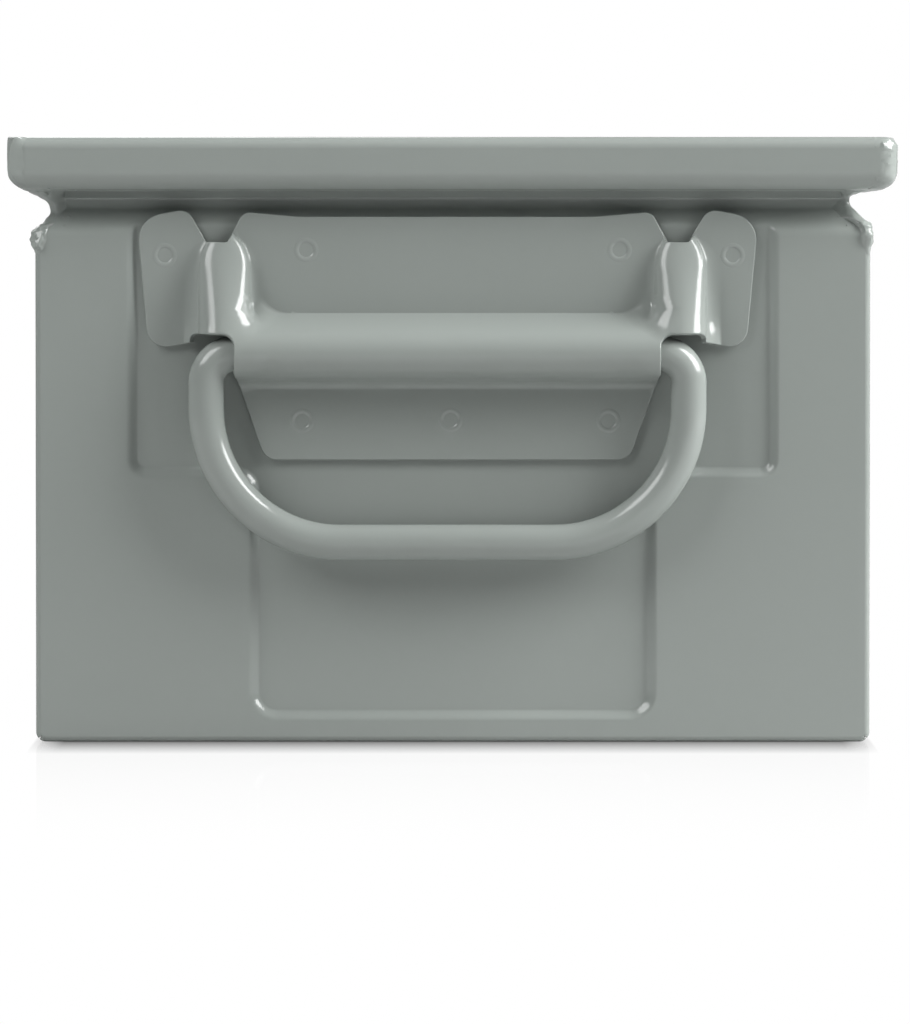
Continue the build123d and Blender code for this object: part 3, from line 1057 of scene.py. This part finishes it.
def buildWeld(end, side, kind, number):
    v = weld
    spin = random.Random(number)
    seed = Vector((spin.uniform(0, 50), spin.uniform(0, 50), spin.uniform(0, 50)))
    points, faces = grid(weldSkin(v[kind], seed, v["ground"] if kind == "sharp" else 0.0))
    flatten(points, v[kind + "Facets"])
    # spatter on the sheets beside the weld
    bm = bmesh.new()
    for k in range(v["spatter"]):
        skin, skinUp, inset, _, reach, _, _ = v[kind][spin.choice(v["spatterRows"])]
        along = inset + reach * (0.8 + 0.9 * spin.random() ** 2)
        size = spin.uniform(0.16, 0.42)
        centre = Vector((along, skin, skinUp)) if k % 3 else Vector((skin, along, skinUp))
        ball = bmesh.ops.create_icosphere(bm, subdivisions=2, radius=size)["verts"]
        for p in ball:
            p.co = p.co * (1 + 0.2 * noise.noise(p.co * 2 + seed)) + centre
    bm.verts.index_update()
    start = len(points)
    points += [p.co.copy() for p in bm.verts]
    faces += [tuple(start + p.index for p in f.verts) for f in bm.faces]
    bm.free()
    signX = -1 if side == "left" else 1
    signY = -1 if end == "front" else 1
    wide, long = box["halfWidth"], box["halfLength"]
    co = [Vector((signX * (wide - p.x), signY * (long - p.y), p.z)) for p in points]
    if signX * signY < 0:
        faces = [tuple(reversed(f)) for f in faces]
    piece = addPiece(end + side.capitalize() + "CornerWeld", co, faces)
    piece.data.set_sharp_from_angle(angle=math.radians(v["crease"]))
    dress(piece, "box", end + "_" + side + "_corner_weld")
    return piece


for number, (end, side, kind) in enumerate((
    ("front", "left", "sharp"),
    ("front", "right", "rounded"),
    ("back", "left", "rounded"),
    ("back", "right", "sharp"),
)):
    piece = buildWeld(end, side, kind, 3 + number)
print("welds", len(piece.data.polygons))


# lamps, white floor and camera
studio = {
    "distance": 3.0,  # m, camera to the rim's near face
    "viewHeight": 0.34475,  # m, seen height at that face
    "lookHeight": 0.0781,  # height shown at the middle of the picture
    "cameraHeight": 0.19,
    "lookAside": 0.00075,
    "worldStrength": 0.01,
    "lightDistance": 1.7,
    "backLight": 2.4,
    "topLight": 0.15,  # radiance of each, white is 1
    "leftLight": 7.3,
    "rightLight": 17.3,
    "floorBounce": 0.58,
    "floorHalf": 3.0,  # m
    "floorLevel": -0.0001,
    # how strongly the painted contact shadow darkens the floor
    "paintedFloorShadow": 0.85,
    "paintedShadowReach": 0.062,  # m, reach of the painted shadow in front of either end
    "footHalfWidth": 0.141,
    "footHalfLength": 0.216,
    "floorMirror": 0.1,
}


def areaLight(name, place, target, size, power):
    data = bpy.data.lights.new(name, "AREA")
    data.shape = "RECTANGLE"
    data.size, data.size_y = size
    data.energy = power
    lamp = bpy.data.objects.new(name, data)
    scene.collection.objects.link(lamp)
    lamp.location = place
    lamp.rotation_mode = "QUATERNION"
    lamp.rotation_quaternion = (Vector(target) - Vector(place)).to_track_quat("-Z", "Y")
    return lamp


def softLight(name, azimuth, elevation, size):
    # azimuth 0 is the camera's side, positive to the right
    a, e = math.radians(azimuth), math.radians(elevation)
    reach = studio["lightDistance"]
    away = Vector((math.sin(a) * math.cos(e), -math.cos(a) * math.cos(e), math.sin(e)))
    target = Vector((0, -0.2, 0.12))
    areaLight(name, target + away * reach, target, size, studio[name] * size[0] * size[1] * math.pi)


softLight("leftLight", -58, 38, (0.9, 0.9))
softLight("rightLight", 79, 34, (1.0, 1.15))
softLight("topLight", 10, 72, (1.4, 1.0))
softLight("backLight", 205, 30, (1.2, 1.2))  # only for the far sides

world = bpy.data.worlds.new("studioAir")
scene.world = world
tree = Tree(world)
seen = tree.node("ShaderNodeLightPath", output=0)
mirrored = tree.node("ShaderNodeLightPath", output=3)
looking = tree.node("ShaderNodeTexCoord", output=0)
heading = tree.node("ShaderNodeSeparateXYZ", {}, {0: looking}, output=1)
# white where the camera looks and where mirroring surfaces see the wall behind the box
behind = mirrored * ((heading - 0.9) * 20.0).clamped()
white = seen.atLeast(behind)
strength = studio["worldStrength"] + white * (1.0 - studio["worldStrength"])
air = tree.node("ShaderNodeBackground", {}, {"Color": (1, 1, 1, 1), "Strength": strength})
tree.node("ShaderNodeOutputWorld", {}, {"Surface": air})

floorMesh = bpy.data.meshes.new("studioFloor")
half, level = studio["floorHalf"], studio["floorLevel"]
floorCorners = [(x * half, y * half, level) for x, y in ((-1, -1), (1, -1), (1, 1), (-1, 1))]
floorMesh.from_pydata(floorCorners, [], [(0, 1, 2, 3)])
floor = bpy.data.objects.new("studioFloor", floorMesh)
scene.collection.objects.link(floor)
floorPaint = bpy.data.materials.new("whiteFloor")
tree = Tree(floorPaint)
seen = tree.node("ShaderNodeLightPath", output=0)
place = tree.node("ShaderNodeNewGeometry", output=0)
across = tree.node("ShaderNodeSeparateXYZ", {}, {0: place}, output=0).absolute()
along = tree.node("ShaderNodeSeparateXYZ", {}, {0: place}, output=1).absolute()
# painted contact shadow: a dark matte is mixed into the white floor in front of the two ends, and it fades
# out with the distance from the footprint
aside = (across - studio["footHalfWidth"]).atLeast(0.0) * 60.0
ahead = (along - studio["footHalfLength"]).atLeast(0.0)
away = aside.math("SQRT", aside * aside + ahead * ahead)
inside = ((studio["footHalfWidth"] + 0.003 - across) * 80.0).clamped()
near = (1.0 - away * (1 / studio["paintedShadowReach"])).clamped() * inside
# camera rays get the painted shadow's dark grey, all other rays get the floor's bounce grey
bounceAndPaintedShadowColour = tree.node(
    "ShaderNodeMix",
    {"data_type": "RGBA"},
    {"Factor": seen, 6: rgba((studio["floorBounce"],) * 3), 7: rgba((0.1, 0.1, 0.1))},
    output=2,
)
matte = tree.node("ShaderNodeBsdfDiffuse", {}, {"Color": bounceAndPaintedShadowColour})
glow = tree.node("ShaderNodeEmission", {}, {"Color": (1, 1, 1, 1), "Strength": 1.0})
# painted shadow: near the ends the white glow gives way to the dark matte
pale = seen * (1.0 - near * studio["paintedFloorShadow"])
lit = tree.node("ShaderNodeMixShader", {}, {0: pale, 1: matte, 2: glow})
mirror = tree.node("ShaderNodeBsdfGlossy", {}, {"Color": (1, 1, 1, 1), "Roughness": 0.04})
wide = (across - box["halfWidth"] * mm).clamped()
fade = (1.0 - ahead * 2.0 - wide * 20.0).clamped()
gloss = seen * fade * fade * studio["floorMirror"]
both = tree.node("ShaderNodeMixShader", {}, {0: gloss, 1: lit, 2: mirror})
tree.node("ShaderNodeOutputMaterial", {}, {"Surface": both})
floorMesh.materials.append(floorPaint)

cameraData = bpy.data.cameras.new("photoView")
camera = bpy.data.objects.new("photoView", cameraData)
scene.collection.objects.link(camera)
scene.camera = camera
cameraData.sensor_width = 36.0
cameraData.lens = 36.0 * studio["distance"] / studio["viewHeight"]
nearFace = -box["halfLength"] * mm
camera.location = (studio["lookAside"], nearFace - studio["distance"], studio["cameraHeight"])
# the camera stands at the rim's height and looks slightly down
fall = math.atan((studio["cameraHeight"] - studio["lookHeight"]) / studio["distance"])
camera.rotation_euler = (math.radians(90) - fall, 0, 0)
scene.view_settings.view_transform = "Standard"
print("studio ready")

print("done")
